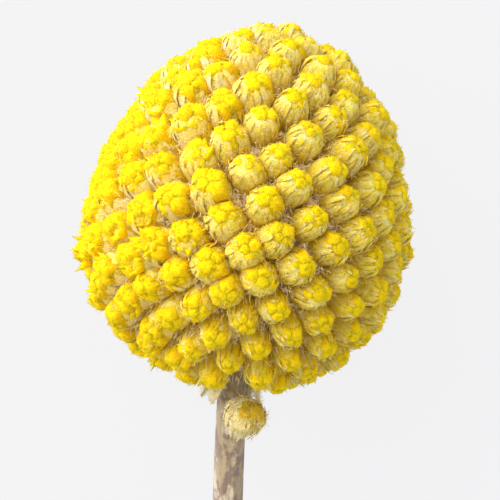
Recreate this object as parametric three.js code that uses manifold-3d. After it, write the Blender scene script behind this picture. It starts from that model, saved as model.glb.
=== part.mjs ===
// A cut billy button: one dried flower head on its leafless stem, lying on a flat surface.
// Millimetres, +Z up. The stem runs along +Y towards the head, and the origin is on the surface,
// midway between the cut end and the crown of the head.
import * as THREE from 'three';
import { mergeVertices } from 'three/addons/utils/BufferGeometryUtils.js';
import Module from 'manifold-3d';

const wasm = await Module();
wasm.setup();

const DEG = THREE.MathUtils.degToRad(1);
const X = new THREE.Vector3(1, 0, 0);
const Y = new THREE.Vector3(0, 1, 0);
const Z = new THREE.Vector3(0, 0, 1);

// ---- Driving dimensions ----
const OVERALL_LENGTH = 160;
const SEAT_GAP = 0.3; // between solids that touch on the real flower
const GOLDEN_ANGLE = 137.508 * DEG;

// The head is an egg, measured to the tips of its buttons, with its widest ring at its own origin.
const HEAD = {
	radius: 13.4,
	crown: 17,
	base: 14,
	lean: 5 * DEG, // to the right, seen from above with the crown away
	flattened: 0.35, // how far the lowest tips are pressed in by lying
};

// The solid middle that the buttons grow from: the same egg, this far below their tips.
const RECEPTACLE = { inset: 4.7, footRadius: 2.1, sides: 12, rings: 7 };

// Each button is a small flower head of its own, set on the receptacle by the golden angle.
const BUTTON = {
	count: 256,
	firstAzimuth: 215 * DEG,
	lastPolar: 159 * DEG, // below this the stem leaves the head
	radius: 1.38,
	length: 9.6, // from a pointed root deep in the receptacle
	shoulder: 1.35, // its widest ring, below the tip
	rim: 0.4, // its ring of floret tips, below the tip
	rimShare: 0.84,
	dimple: 0.22, // every second floret on the rim is this much lower
	turnUp: 0.2, // how far it turns towards the crown
	sides: 6,
	stray: 0.1, // how far it stands from its exact place
	sway: 0.05,
	ripeGrowth: 0.8, // how much taller it is on the riper side
	lateLoss: 1.1, // how much shorter it is on the side of the crown that grew last
	uneven: 0.15, // how much its height differs from its neighbours'
	sunken: 0.1, // how far the tips stay below the egg on the whole
};
const RIPE_SIDE = new THREE.Vector3(-0.95, -0.25, -0.05).normalize();
const LATE_SIDE = new THREE.Vector3(-0.64, 0, 0.77).normalize();
const SIDE_FROM = 0.75; // the cosine to either side at which its effect starts

const STEM = {
	topRadius: 1.2,
	cutRadius: 1.35,
	bend: new THREE.Vector3(0.6, -30, 5.4), // the point that its lower half bends towards
	straight: 20, // how far it keeps the head's direction
	flare: 3.2, // over this length it widens into the receptacle's foot
	sides: 12,
	steps: 46,
	ribs: 6,
	ribHeight: 0.05,
	scarEvery: 23, // a scar is left where each small leaf has dropped
	scarHeight: 0.35,
	scarReach: 1.8,
	cutSlant: 18 * DEG,
};

// Papery bracts hang round the top of the stem, with a place left free above the low button.
const BRACT = {
	count: 5,
	below: 0.9, // from the stem's top to their roots
	length: 4.3,
	width: 1.9,
	thickness: 0.6,
	start: 1.6, // from the stem's centre line, at the root
	end: 2.5, // and at the tip
	cup: 0.25,
	fullFrom: 0.2, // the blade's outline is this part of a half wave: blunt at the root,
	fullTo: 0.92, // nearly pointed at the tip
};

// One button more sits by itself on the stem just below the head.
const LOW_BUTTON = {
	belowHead: 17.2, // its root, below the head's widest ring
	radius: 1.5,
	length: 4,
	shoulder: 1.4,
	sides: 10,
	azimuth: 22 * DEG, // round the stem, from its upper side to the right
	lift: 35 * DEG, // away from the stem
};

// ---- Where it lies ----
const headCentre = new THREE.Vector3(0, OVERALL_LENGTH / 2 - HEAD.crown, HEAD.radius - HEAD.flattened);
const cutCentre = new THREE.Vector3(2.4, -OVERALL_LENGTH / 2, STEM.cutRadius - STEM.ribHeight);
const pitch = Math.atan2(headCentre.z - cutCentre.z, headCentre.y - cutCentre.y);

// Inside this group the head stands with its crown at +Z, and -Y becomes its upper side.
const headGroup = new THREE.Group();
headGroup.position.copy(headCentre);
headGroup.rotation.set(pitch - Math.PI / 2, HEAD.lean, 0);
headGroup.updateMatrixWorld(true);
const headAxis = Z.clone().transformDirection(headGroup.matrixWorld);

// ---- Helpers ----

// A number from 0 to 1, always the same for one button and purpose.
function draw(index, purpose) {
	const wave = Math.sin(index * 12.9898 + purpose * 78.233) * 43758.5453;
	return wave - Math.floor(wave);
}

function spread(index, purpose, reach) {
	return (draw(index, purpose) * 2 - 1) * reach;
}

function toSolid(geometry) {
	const bare = new THREE.BufferGeometry();
	bare.setAttribute('position', geometry.getAttribute('position'));
	bare.setIndex(geometry.getIndex());
	const merged = mergeVertices(bare, 1e-4);
	return new wasm.Manifold(new wasm.Mesh({
		numProp: 3,
		vertProperties: merged.attributes.position.array,
		triVerts: new Uint32Array(merged.index.array),
	}));
}

function namedMesh(name, solid, color, roughness) {
	const { vertProperties, triVerts } = solid.getMesh();
	const geometry = new THREE.BufferGeometry();
	geometry.setAttribute('position', new THREE.BufferAttribute(vertProperties, 3));
	geometry.setIndex(new THREE.BufferAttribute(triVerts, 1));
	geometry.computeVertexNormals();
	const material = new THREE.MeshStandardMaterial({ color, roughness, metalness: 0 });
	const mesh = new THREE.Mesh(geometry, material);
	mesh.name = name;
	return mesh;
}

// ---- The egg that the tips of the buttons lie on ----

function eggPoint(polar, inset = 0) {
	const half = polar < Math.PI / 2 ? HEAD.crown : HEAD.base;
	return new THREE.Vector2((HEAD.radius - inset) * Math.sin(polar), (half - inset) * Math.cos(polar));
}

function eggNormal(polar) {
	const half = polar < Math.PI / 2 ? HEAD.crown : HEAD.base;
	return new THREE.Vector2(half * Math.sin(polar), HEAD.radius * Math.cos(polar)).normalize();
}

// Polar angles that give each button an equal share of the egg's area.
function evenPolars(count, lastPolar) {
	const slices = 720;
	const area = [0];
	for (let i = 1; i <= slices; i++) {
		const a = eggPoint(((i - 1) / slices) * lastPolar);
		const b = eggPoint((i / slices) * lastPolar);
		area.push(area[i - 1] + a.distanceTo(b) * (a.x + b.x));
	}
	const polars = [];
	let slice = 0;
	for (let i = 0; i < count; i++) {
		const wanted = ((i + 0.5) / count) * area[slices];
		while (area[slice + 1] < wanted) slice++;
		const share = (wanted - area[slice]) / (area[slice + 1] - area[slice]);
		polars.push(((slice + share) / slices) * lastPolar);
	}
	return polars;
}

// ---- The buttons ----

// Tip and direction of one button, in the head group's frame.
function placeButton(polar, index) {
	const azimuth = BUTTON.firstAzimuth + index * GOLDEN_ANGLE + spread(index, 1, BUTTON.stray) / HEAD.radius;
	const outward = new THREE.Vector3(Math.cos(azimuth), Math.sin(azimuth), 0);
	const point = eggPoint(polar + spread(index, 2, BUTTON.stray) / HEAD.radius);
	const normal = eggNormal(polar);
	const direction = outward.clone().multiplyScalar(normal.x);
	direction.x += spread(index, 3, BUTTON.sway);
	direction.y += spread(index, 4, BUTTON.sway);
	direction.z = normal.y + BUTTON.turnUp * Math.sin(polar);
	direction.normalize();
	const ripe = THREE.MathUtils.smoothstep(direction.dot(RIPE_SIDE), SIDE_FROM, 1);
	const late = THREE.MathUtils.smoothstep(direction.dot(LATE_SIDE), SIDE_FROM, 1);
	const uneven = spread(index, 6, BUTTON.uneven) - BUTTON.sunken;
	const growth = ripe * draw(index, 5) * BUTTON.ripeGrowth - late * BUTTON.lateLoss + uneven;
	const tip = outward.multiplyScalar(point.x).setZ(point.y).addScaledVector(direction, growth);
	const radius = BUTTON.radius * (1 + spread(index, 7, 0.04));
	const spin = (draw(index, 8) / BUTTON.sides) * 2 * Math.PI;
	return { tip, direction, radius, spin };
}

// A club along +Y: a pointed root, a wide shoulder and a rim of floret tips round a low dome.
function clubGeometry(length, radius, shoulder, sides) {
	const profile = [
		new THREE.Vector2(0, 0),
		new THREE.Vector2(radius, length - shoulder),
		new THREE.Vector2(radius * BUTTON.rimShare, length - BUTTON.rim),
		new THREE.Vector2(0, length),
	];
	const geometry = new THREE.LatheGeometry(profile, sides);
	const position = geometry.getAttribute('position');
	for (let i = 0; i < position.count; i++) {
		const onRim = i % profile.length === 2;
		const odd = Math.floor(i / profile.length) % 2 === 1;
		if (onRim && odd) position.setY(i, position.getY(i) - BUTTON.dimple);
	}
	return geometry;
}

function standOn(geometry, root, direction, spin) {
	const turn = new THREE.Quaternion().setFromUnitVectors(Y, direction);
	turn.multiply(new THREE.Quaternion().setFromAxisAngle(Y, spin));
	return geometry.applyMatrix4(new THREE.Matrix4().compose(root, turn, new THREE.Vector3(1, 1, 1)));
}

// ---- The head: receptacle and buttons in one solid ----

const footPolar = Math.PI - Math.asin(RECEPTACLE.footRadius / (HEAD.radius - RECEPTACLE.inset));
const footHeight = eggPoint(footPolar, RECEPTACLE.inset).y;

function receptacleGeometry() {
	const profile = [new THREE.Vector2(0, footHeight)];
	for (let i = RECEPTACLE.rings; i > 0; i--) {
		profile.push(eggPoint((i / RECEPTACLE.rings) * footPolar, RECEPTACLE.inset));
	}
	profile.push(new THREE.Vector2(0, HEAD.crown - RECEPTACLE.inset));
	return new THREE.LatheGeometry(profile, RECEPTACLE.sides).rotateX(Math.PI / 2);
}

function groundBlock() {
	const size = 4 * HEAD.crown;
	const block = new THREE.BoxGeometry(size, size, size);
	block.translate(headCentre.x, headCentre.y, -size / 2);
	return block.applyMatrix4(headGroup.matrixWorld.clone().invert());
}

function headSolid() {
	let solid = toSolid(receptacleGeometry());
	evenPolars(BUTTON.count, BUTTON.lastPolar).forEach((polar, index) => {
		const { tip, direction, radius, spin } = placeButton(polar, index);
		const root = tip.addScaledVector(direction, -BUTTON.length);
		const club = clubGeometry(BUTTON.length, radius, BUTTON.shoulder, BUTTON.sides);
		solid = solid.add(toSolid(standOn(club, root, direction, spin)));
	});
	return solid.subtract(toSolid(groundBlock()));
}

// ---- The stem: a ribbed rod, a little bent, with its bracts ----

const stemTop = headCentre.clone().addScaledVector(headAxis, footHeight - SEAT_GAP);
const stemPath = new THREE.CubicBezierCurve3(
	cutCentre,
	STEM.bend,
	stemTop.clone().addScaledVector(headAxis, -STEM.straight),
	stemTop,
);
const stemLength = stemPath.getLength();

// The stem's centre and the directions across it, at a share of its length.
function stemFrame(share) {
	const along = stemPath.getTangentAt(share);
	const side = along.clone().cross(Z).normalize();
	return { centre: stemPath.getPointAt(share), along, side, up: side.clone().cross(along) };
}

function scarHeight(distance, angle) {
	const index = Math.round(distance / STEM.scarEvery);
	const away = Math.abs(distance - index * STEM.scarEvery) / STEM.scarReach;
	const facing = Math.cos(angle - index * GOLDEN_ANGLE);
	return index > 0 && away < 1 && facing > 0 ? STEM.scarHeight * (1 - away) * facing * facing : 0;
}

function stemRadius(distance, angle) {
	const taper = THREE.MathUtils.lerp(STEM.cutRadius, STEM.topRadius, distance / stemLength);
	const flare = THREE.MathUtils.smoothstep(distance, stemLength - STEM.flare, stemLength) ** 2;
	const rib = STEM.ribHeight * Math.cos(STEM.ribs * angle);
	return taper + rib + (RECEPTACLE.footRadius - STEM.topRadius) * flare + scarHeight(distance, angle);
}

function rodGeometry() {
	const rod = new THREE.CylinderGeometry(1, 1, 1, STEM.sides, STEM.steps);
	const position = rod.getAttribute('position');
	for (let i = 0; i < position.count; i++) {
		const fromTop = 0.5 - position.getY(i);
		const share = 1 - fromTop ** 1.5; // the steps grow shorter towards the head
		const angle = Math.atan2(position.getZ(i), position.getX(i));
		const reach = Math.hypot(position.getX(i), position.getZ(i)) * stemRadius(share * stemLength, angle);
		const slant = share === 0 ? reach * Math.cos(angle) * Math.tan(STEM.cutSlant) : 0;
		const { centre, along, side, up } = stemFrame(share);
		centre.addScaledVector(side, reach * Math.cos(angle));
		centre.addScaledVector(up, reach * Math.sin(angle));
		centre.addScaledVector(along, slant);
		position.setXYZ(i, centre.x, centre.y, Math.max(centre.z, 0));
	}
	return rod;
}

// A pointed blade that leaves the flare at its root and hangs down beside the stem.
function bractGeometry(azimuth) {
	const blade = new THREE.BoxGeometry(1, 1, 1, 2, 5, 1);
	const position = blade.getAttribute('position');
	for (let i = 0; i < position.count; i++) {
		const down = 0.5 - position.getY(i);
		const width = BRACT.width * Math.sin(Math.PI * THREE.MathUtils.lerp(BRACT.fullFrom, BRACT.fullTo, down));
		const across = position.getX(i) * width;
		const away = THREE.MathUtils.lerp(BRACT.start, BRACT.end, down) + position.getZ(i) * BRACT.thickness;
		const cupped = away - BRACT.cup * across * across;
		position.setXYZ(i, across, -BRACT.below - down * BRACT.length, cupped);
	}
	const frame = new THREE.Matrix4().makeBasis(X, headAxis, X.clone().cross(headAxis).normalize());
	const turn = new THREE.Matrix4().makeRotationAxis(headAxis, azimuth);
	return blade.applyMatrix4(turn.multiply(frame).setPosition(stemTop));
}

function stemSolid() {
	let solid = toSolid(rodGeometry());
	for (let i = 1; i <= BRACT.count; i++) {
		const azimuth = LOW_BUTTON.azimuth + (i / (BRACT.count + 1)) * 2 * Math.PI;
		solid = solid.add(toSolid(bractGeometry(azimuth)));
	}
	return solid;
}

// ---- The low button ----

function lowButtonSolid() {
	const share = 1 - (LOW_BUTTON.belowHead + footHeight) / stemLength;
	const { centre, along, side, up } = stemFrame(share);
	const outward = up.clone().multiplyScalar(Math.cos(LOW_BUTTON.azimuth));
	outward.addScaledVector(side, Math.sin(LOW_BUTTON.azimuth));
	const direction = along.clone().multiplyScalar(Math.cos(LOW_BUTTON.lift));
	direction.addScaledVector(outward, Math.sin(LOW_BUTTON.lift)).normalize();
	const root = centre.addScaledVector(outward, STEM.topRadius + STEM.ribHeight + SEAT_GAP);
	const club = clubGeometry(LOW_BUTTON.length, LOW_BUTTON.radius, LOW_BUTTON.shoulder, LOW_BUTTON.sides);
	return toSolid(standOn(club, root, direction, 0));
}

// ---- Assembly ----
const part = new THREE.Group();
part.add(headGroup);
headGroup.add(namedMesh('flower_head', headSolid(), 0xe8c81e, 0.8));
part.add(namedMesh('stem', stemSolid(), 0xa8957a, 0.85));
part.add(namedMesh('low_button', lowButtonSolid(), 0xc4a85b, 0.8));

export default part;
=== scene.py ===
"""A dried billy button, cut and lying down.

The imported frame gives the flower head, its stem and one low button as plain solids. This script
dresses them: a woolly receptacle, the small flower heads (the buttons) with their papery bracts,
yellow florets, chaff and wool, and the stem with its skin, scars, bracts and wool.
"""

import math
from dataclasses import dataclass
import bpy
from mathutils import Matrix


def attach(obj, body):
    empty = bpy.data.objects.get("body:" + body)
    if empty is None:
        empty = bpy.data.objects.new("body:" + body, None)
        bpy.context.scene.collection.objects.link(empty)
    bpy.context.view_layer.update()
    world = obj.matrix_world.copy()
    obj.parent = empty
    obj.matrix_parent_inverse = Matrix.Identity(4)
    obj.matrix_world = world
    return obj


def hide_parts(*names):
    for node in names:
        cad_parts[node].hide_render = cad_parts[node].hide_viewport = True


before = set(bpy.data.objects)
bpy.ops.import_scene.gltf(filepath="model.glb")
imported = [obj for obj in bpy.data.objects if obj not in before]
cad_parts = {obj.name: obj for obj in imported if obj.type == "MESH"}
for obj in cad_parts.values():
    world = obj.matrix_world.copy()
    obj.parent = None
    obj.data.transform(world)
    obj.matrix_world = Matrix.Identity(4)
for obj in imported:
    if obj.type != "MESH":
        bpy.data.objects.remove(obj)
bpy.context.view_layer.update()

from types import SimpleNamespace

import bpy
import numpy as np
from bpy.props import FloatProperty, FloatVectorProperty, IntProperty, PointerProperty
from mathutils import Matrix, Vector

bl_info = {
    "name": "Billy Button",
    "version": (1, 0, 0),
    "blender": (4, 5, 0),
    "location": "3D View > Sidebar > Flower",
    "description": "Dresses a dried billy button in florets, papery bracts and wool",
    "category": "Add Mesh",
}

MM = 0.001
FULL_TURN = 2 * math.pi
GOLDEN_ANGLE = math.radians(137.508)
BODY = "root"

# The rule that the solids' buttons follow, as in the frame.
FIRST_AZIMUTH = math.radians(215)
LAST_POLAR = math.radians(159)  # below this the stem leaves the head
TURN_UP = 0.2  # how far the buttons turn towards the crown
STRAY = 0.1 * MM
SWAY = 0.05
RIPE_SIDE = np.array((-0.95, -0.25, -0.05)) / np.linalg.norm((-0.95, -0.25, -0.05))
LATE_SIDE = np.array((-0.64, 0, 0.77)) / np.linalg.norm((-0.64, 0, 0.77))
SIDE_FROM = 0.75  # the cosine at which either side begins
RIPE_GROWTH = 0.8 * MM
UNEVEN = 0.15 * MM
SUNKEN = 0.1 * MM
UNEVEN_SIZE = 0.04
RECEPTACLE_INSET = 4.7 * MM
FOOT_RADIUS = 2.1 * MM
SEAT_GAP = 0.3 * MM

# What the dressed buttons add to that rule.
LATE_LOSS = 0.6 * MM  # how much lower the late side stands, less than the solids' 1.1 mm
LOOSE = 0.17 * MM  # how far a button stands beside, above or below its place
LOOSE_TURN = 0.07  # how far it leans
LOOSE_SIZE = 0.07
OVAL = 0.08  # how far from round it may be
FULLNESS = 1.04  # the buttons press against each other
RIPE_FULLNESS = 0.17  # and more so on the ripe side
SLENDERNESS = 1.12  # how much longer than wide their tops are drawn
LOW_SLENDERNESS = 0.54
DROOP = 0.5  # how far the lowest ones turn towards the stem
DROOP_GROWTH = 0.4 * MM
DROOP_SLIMNESS = 0.3
DROOP_LENGTH = 0.5
FAVOURED = math.radians(58)  # florets swell most on this side, from the right towards the crown
LOW_FAVOURED = math.radians(145)
RIPE_FROM = 0.1  # florets are yellower from this cosine to the ripe side on
PAINTED_LIGHT_FROM = 0.3  # and bracts, wool and florets are painted paler, as painted light, from this cosine to the late side on
WOOLLY_INSET = 2.3 * MM  # how far the woolly receptacle lies below the tips
FLOOR_CLEARANCE = 0.02 * MM  # nothing of the flower goes below this height
NOMINAL_RADIUS = 1.38 * MM  # of the button that the small shapes are drawn for

# How many small shapes a button bears. Of some, only those in the right places stay.
OUTER_BRACTS = 30
INNER_BRACTS = 18
RING_FLORETS = 5
TUFT = 44
CHAFF = 6
GAP_SCALES = 7
HAIRS = 12
LOW_HAIRS = 180

# The gaps between the buttons, where wool rises.
GAP_TRIES = 16000
GAP_DEPTH = 1.6 * MM
GAP_FROM = 1.2 * MM  # nearer to a button's axis than this is no gap
GAP_TO = 2.4 * MM
GAP_REACH = 5 * MM  # buttons whose tips are further up or down don't count

# The stem's line and surface, as in the frame.
CUT_SIDE = 2.4 * MM
STEM_BEND = Vector((0.6, -30, 5.4)) * MM
STEM_STRAIGHT = 20 * MM
STEM_FLARE = 3.2 * MM
STEM_RIBS = 6
RIB_HEIGHT = 0.05 * MM
SCAR_EVERY = 23 * MM
SCAR_HEIGHT = 0.35 * MM
SCAR_REACH = 1.8 * MM
CUT_SLANT = math.radians(18)

# The bracts at the top of the stem, as in the frame.
STEM_BRACTS = 5
BRACT_BELOW = 0.9 * MM
BRACT_LENGTH = 4.3 * MM
BRACT_WIDTH = 1.9 * MM
BRACT_START = 1.6 * MM
BRACT_END = 2.5 * MM
BRACT_CUP = 0.25 / MM

# What the dressed stem and its bracts add.
CUT_REACH = 1.2 * MM  # how far up the stem the slant of the cut end reaches
CUT_DENTS = ((0.86, 0.0), (0.62, 0.25), (0.3, 0.45))  # share of the width, depth in millimetres
PITH_DEPTH = 0.5 * MM
BROWNER_BELOW = 38 * MM  # the stem is browner up to this y
PLAIN_ABOVE = 46 * MM
BRACT_THICKNESS = 0.12 * MM
BRACT_ROWS, BRACT_COLUMNS = 14, 9

# Where the low button is, as in the frame.
LOW_BELOW_HEAD = 17.2 * MM
LOW_LENGTH = 4 * MM
LOW_AZIMUTH = math.radians(22)
LOW_LIFT = math.radians(35)


# ---- What a user would change ----


def length(name, description, millimetres):
    return FloatProperty(name=name, description=description, default=millimetres * MM, unit="LENGTH")


def angle(name, description, degrees):
    default = math.radians(degrees)
    return FloatProperty(name=name, description=description, default=default, subtype="ANGLE")


def strength(name, description, value, unit="NONE"):
    return FloatProperty(name=name, description=description, default=value, unit=unit)


def colour(name, description, *rgb):
    return FloatVectorProperty(
        name=name, description=description, default=rgb, subtype="COLOR", min=0, max=1
    )


class FlowerSizes(bpy.types.PropertyGroup):
    overall_length: length("Overall length", "From the cut end to the crown", 160)
    head_radius: length("Head radius", "To the tips of the buttons at the widest ring", 13.4)
    head_crown: length("Crown", "From the widest ring up to the crown", 17)
    head_base: length("Base", "From the widest ring down to the lowest buttons", 14)
    head_flattened: length("Flattened", "How far the lowest tips are pressed in by lying", 0.35)
    head_lean: angle("Lean", "Lean of the head to the right, seen from above", 5)
    button_count: IntProperty(
        name="Buttons", description="Small flower heads on the receptacle", default=256, min=1
    )
    button_radius: length("Button radius", "Of one small flower head", 1.38)
    stem_top_radius: length("Stem radius at the top", "Just under the head", 1.2)
    stem_cut_radius: length("Stem radius at the cut", "At the cut end", 1.35)
    low_button_radius: length("Low button radius", "Of the button on the stem", 1.5)


class FlowerColours(bpy.types.PropertyGroup):
    yellow: colour("Yellow", "Tips of the florets", 0.97, 0.66, 0.003)
    # Gold, a deeper yellow, also stands as painted shade down the florets' sides.
    gold: colour("Gold", "Sides of the florets", 0.84, 0.52, 0.004)
    # Olive is painted as shade deep between the florets and low on the buttons and bracts; it also makes
    # dark specks.
    olive_shade: colour("Olive", "Between the florets and low on the buttons", 0.46, 0.32, 0.015)
    papery: colour("Papery", "Papery tips of the bracts", 0.99, 0.82, 0.085)
    khaki: colour("Khaki", "Lower parts of the bracts", 0.82, 0.6, 0.03)
    cream: colour("Cream", "Wool and bracts of the low button", 0.97, 0.82, 0.38)
    # Fringe and papery are also the colours painted as light on the lit side.
    fringe: colour("Fringe", "Hairs and ragged edges", 1.0, 0.89, 0.56)
    down: colour("Down", "Wool deep between the buttons", 0.97, 0.78, 0.48)
    plum: colour("Plum", "Receptacle, deep between the buttons", 0.3, 0.17, 0.09)
    faded: colour("Faded gold", "Florets of the low button", 0.66, 0.4, 0.015)
    tan: colour("Tan", "Skin of the stem", 0.37, 0.29, 0.17)
    brown: colour("Brown", "Dark blotches and scars on the stem", 0.2, 0.13, 0.1)
    wool: colour("Wool", "Wool on the stem", 0.85, 0.74, 0.56)
    floor: colour("Floor", "The surface that the flower lies on", 0.03, 0.03, 0.0305)
    floor_grain: colour("Floor grain", "Faint specks in that surface", 0.05, 0.05, 0.05)


class FlowerStage(bpy.types.PropertyGroup):
    view_width: length("View width", "Width that the camera shows at the head", 41.5)
    view_x: length("View centre x", "Middle of the picture, to the right", 0.12)
    view_y: length("View centre y", "Middle of the picture, along the stem", 61.18)
    camera_height: length("Camera height", "Above the middle of the head", 130)
    camera_roll: angle("Camera roll", "Turn round the line of sight, anticlockwise", 1.2)
    floor_size: length("Floor size", "Side of the square floor", 6000)
    key_power: strength("Key light", "The soft light at the upper left", 10.5, "POWER")
    side_power: strength("Side light", "The low soft light at the left", 1.0, "POWER")
    fill_power: strength("Fill light", "The soft light at the right", 0.5, "POWER")
    sky: strength("Sky", "Strength of the light from all round", 0.73)
    floor_glow: strength("Floor glow", "Light that the floor adds, as a lit table does", 0.867)


# ---- Draws that stay the same, and small sums ----


def draw(index, purpose):
    """Numbers from 0 to 1, always the same for one button and purpose."""
    wave = np.sin(index * 12.9898 + purpose * 78.233) * 43758.5453
    return wave - np.floor(wave)


def spread(index, purpose, reach):
    return (draw(index, purpose) * 2 - 1) * reach


def smoothstep(value, low, high):
    share = np.clip((value - low) / (high - low), 0, 1)
    return share * share * (3 - 2 * share)


def unit(vectors):
    return vectors / np.linalg.norm(vectors, axis=-1, keepdims=True)


def angles_round(sides):
    return np.arange(sides) / sides * FULL_TURN


def neighbours(sides):
    """Each place round a ring, with the next one."""
    return [(j, (j + 1) % sides) for j in range(sides)]


# ---- Where the head and the stem lie ----


class Head:
    """The egg that the buttons' tips lie on, and how it is turned."""

    def __init__(self, sizes):
        self.sizes = sizes
        half_length = sizes.overall_length / 2
        height = sizes.head_radius - sizes.head_flattened
        self.centre = Vector((0, half_length - sizes.head_crown, height))
        self.cut = Vector((CUT_SIDE, -half_length, sizes.stem_cut_radius - RIB_HEIGHT))
        rise = self.centre - self.cut
        pitch = math.atan2(rise.z, rise.y)
        lean = Matrix.Rotation(sizes.head_lean, 3, "Y")
        self.turn = Matrix.Rotation(pitch - math.pi / 2, 3, "X") @ lean
        self.axis = self.turn @ Vector((0, 0, 1))

    def half(self, polar):
        """Half the egg's length, on the side of the crown or of the base."""
        return np.where(polar < math.pi / 2, self.sizes.head_crown, self.sizes.head_base)

    def point(self, polar, inset=0.0):
        """Distance from the axis and height, on the egg or below it."""
        across = (self.sizes.head_radius - inset) * np.sin(polar)
        return across, (self.half(polar) - inset) * np.cos(polar)

    def normal(self, polar):
        across, up = self.half(polar) * np.sin(polar), self.sizes.head_radius * np.cos(polar)
        size = np.hypot(across, up)
        return across / size, up / size

    def even_polars(self, count):
        """Polar angles that give each button an equal share of the egg's area."""
        polars = np.linspace(0, LAST_POLAR, 721)
        across, up = self.point(polars)
        steps = np.hypot(np.diff(across), np.diff(up)) * (across[:-1] + across[1:])
        area = np.concatenate(([0], np.cumsum(steps)))
        wanted = (np.arange(count) + 0.5) / count * area[-1]
        return np.interp(wanted, area, polars)

    def to_world(self, local):
        return local @ np.array(self.turn).T + np.array(self.centre)

    def foot_height(self):
        inner = self.sizes.head_radius - RECEPTACLE_INSET
        polar = math.pi - math.asin(FOOT_RADIUS / inner)
        return float(self.point(np.array(polar), RECEPTACLE_INSET)[1])

    def stem_top(self):
        return self.centre + self.axis * (self.foot_height() - SEAT_GAP)


def how_ripe(outward):
    """From 0 to 1, most on the ripe side."""
    return smoothstep(outward @ RIPE_SIDE, RIPE_FROM, 1)


def how_fair(outward):
    """How much paler bracts and wool are painted, from 0 to 1: most on the ripe side and on the late
    side, at the upper left where the key light falls, so this paleness is painted light.
    """
    return np.maximum(how_ripe(outward), smoothstep(outward @ LATE_SIDE, PAINTED_LIGHT_FROM, 1))


@dataclass
class Buttons:
    """Small flower heads, with frames whose columns point right, crownwards and outwards."""

    prefix: str  # starts the names of their pieces
    colours: object
    tips: np.ndarray
    frames: np.ndarray
    radius: np.ndarray
    ripe: np.ndarray  # from 0 to 1
    fair: np.ndarray  # how much paler they are painted as painted light, from 0 to 1
    oval: np.ndarray  # how much wider one way than round
    oval_turn: np.ndarray  # and which way
    depth: np.ndarray  # how deep their bodies are for their width
    favoured: np.ndarray  # azimuth of the side where florets swell most

    def __len__(self):
        return len(self.tips)

    def owners(self, count):
        """The number of the button that each of its shapes stands on."""
        return np.repeat(np.arange(len(self)), count)

    def ring(self, count, rng, shake):
        """The owners and azimuths of a ring of shapes on each button."""
        owner = self.owners(count)
        first = rng.uniform(0, FULL_TURN, len(self))
        azimuth = first[owner] + np.tile(np.arange(count), len(self)) / count * FULL_TURN
        return owner, azimuth + rng.uniform(-shake, shake, len(owner))

    def favour(self, owner, azimuth):
        """From -1 to 1, how far an azimuth points to the side where florets swell most."""
        return np.cos(azimuth - self.favoured[owner])


def frames_of(outward, crownward):
    """Right, crownward and outward directions for each outward direction."""
    up = crownward - outward * (outward @ crownward)[:, None]
    up = unit(up + 1e-6)  # never quite zero
    return np.stack((np.cross(up, outward), up, outward), axis=2)


def head_buttons(head, colours):
    sizes = head.sizes
    index = np.arange(sizes.button_count)
    polar = head.even_polars(sizes.button_count)
    azimuth = FIRST_AZIMUTH + index * GOLDEN_ANGLE + spread(index, 1, STRAY) / sizes.head_radius
    around = np.stack((np.cos(azimuth), np.sin(azimuth)), axis=1)
    across, up = head.point(polar + spread(index, 2, STRAY) / sizes.head_radius)
    normal_across, normal_up = head.normal(polar)
    direction = np.empty((len(index), 3))
    direction[:, :2] = around * normal_across[:, None]
    direction[:, 0] += spread(index, 3, SWAY)
    direction[:, 1] += spread(index, 4, SWAY)
    direction[:, 2] = normal_up + TURN_UP * np.sin(polar)
    direction = unit(direction)
    growth = smoothstep(direction @ RIPE_SIDE, SIDE_FROM, 1) * draw(index, 5) * RIPE_GROWTH
    growth -= smoothstep(direction @ LATE_SIDE, SIDE_FROM, 1) * LATE_LOSS
    growth += spread(index, 6, UNEVEN) - SUNKEN
    low_down = np.clip(-np.cos(polar), 0, 1) * np.sin(polar)
    growth += low_down * draw(index, 18) * DROOP_GROWTH
    loose = np.stack([spread(index, purpose, LOOSE) for purpose in (11, 12, 13)], axis=1)
    tips = np.column_stack((around * across[:, None], up)) + direction * growth[:, None] + loose
    leaning = np.stack([spread(index, purpose, LOOSE_TURN) for purpose in (14, 15, 16)], axis=1)
    leaning[:, 2] -= low_down * DROOP
    outward = unit(direction + leaning) @ np.array(head.turn).T
    size = 1 + spread(index, 7, UNEVEN_SIZE) + spread(index, 17, LOOSE_SIZE) - low_down * DROOP_SLIMNESS
    return Buttons(
        prefix="head",
        colours=colours,
        tips=head.to_world(tips),
        frames=frames_of(outward, np.array(head.axis)),
        radius=sizes.button_radius * size,
        ripe=how_ripe(direction),
        fair=how_fair(direction),
        oval=spread(index, 9, OVAL),
        oval_turn=draw(index, 10) * math.pi,
        depth=SLENDERNESS + low_down * DROOP_LENGTH,
        favoured=np.full(len(index), FAVOURED),
    )


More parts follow.
